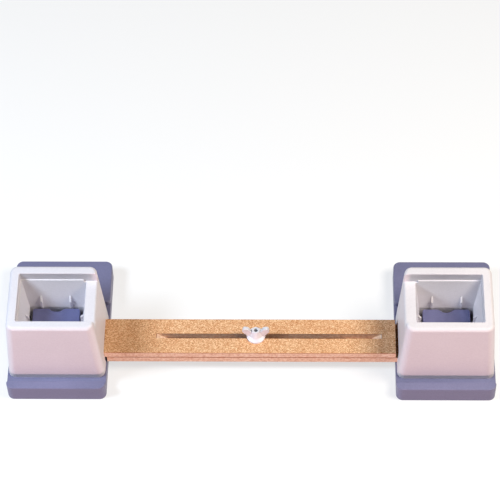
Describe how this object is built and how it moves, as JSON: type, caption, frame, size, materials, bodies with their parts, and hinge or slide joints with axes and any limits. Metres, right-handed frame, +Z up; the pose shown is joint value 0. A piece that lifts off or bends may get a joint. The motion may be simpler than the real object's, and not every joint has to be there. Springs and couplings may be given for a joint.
{
  "type": "linked bed riser",
  "caption": "Pair of bed risers: tapered socket towers on long flat bases, joined by a sliding bar of slotted boards with a wing nut clamp.",
  "frame": {"origin": "bottom centre of the bounding box, on the floor", "axes": "+X along the bar from the left tower to the right one, +Y to the long decks of the bases, +Z up"},
  "size_m": [0.705, 0.2214, 0.1465],
  "materials": {
    "base": "fine texture",
    "tower": "fine texture",
    "pad": "matte",
    "board": "bare pressed board",
    "screw": "zinc plated",
    "nut": "satin"
  },
  "bodies": {
    "left_unit": {"left_base": "base", "left_tower": "tower", "left_pad": "pad", "left_packing": "board", "upper_board": "board", "left_tower_screws": "screw", "left_board_screws": "screw"},
    "right_unit": {"right_base": "base", "right_tower": "tower", "right_pad": "pad", "right_packing": "board", "lower_board": "board", "right_tower_screws": "screw", "right_board_screws": "screw"},
    "clamp": {"clamp_bolt": "screw"},
    "nut": {"wing_nut": "nut"}
  },
  "joints": [
    {"name": "bar_slide", "type": "slide", "parent": "left_unit", "child": "right_unit", "axis": [1, 0, 0], "range_m": [-0.025, 0.3]},
    {"name": "clamp_slide", "type": "slide", "parent": "left_unit", "child": "clamp", "axis": [1, 0, 0], "range_m": [-0.0125, 0.15]},
    {"name": "nut_turn", "type": "hinge", "parent": "clamp", "child": "nut", "pos_m": [0.007, -0.03025, 0.0445], "axis": [0, 0, 1], "continuous": true}
  ],
  "couplings": [
    {"joint": "clamp_slide", "follows": "bar_slide", "ratio": 0.5}
  ]
}
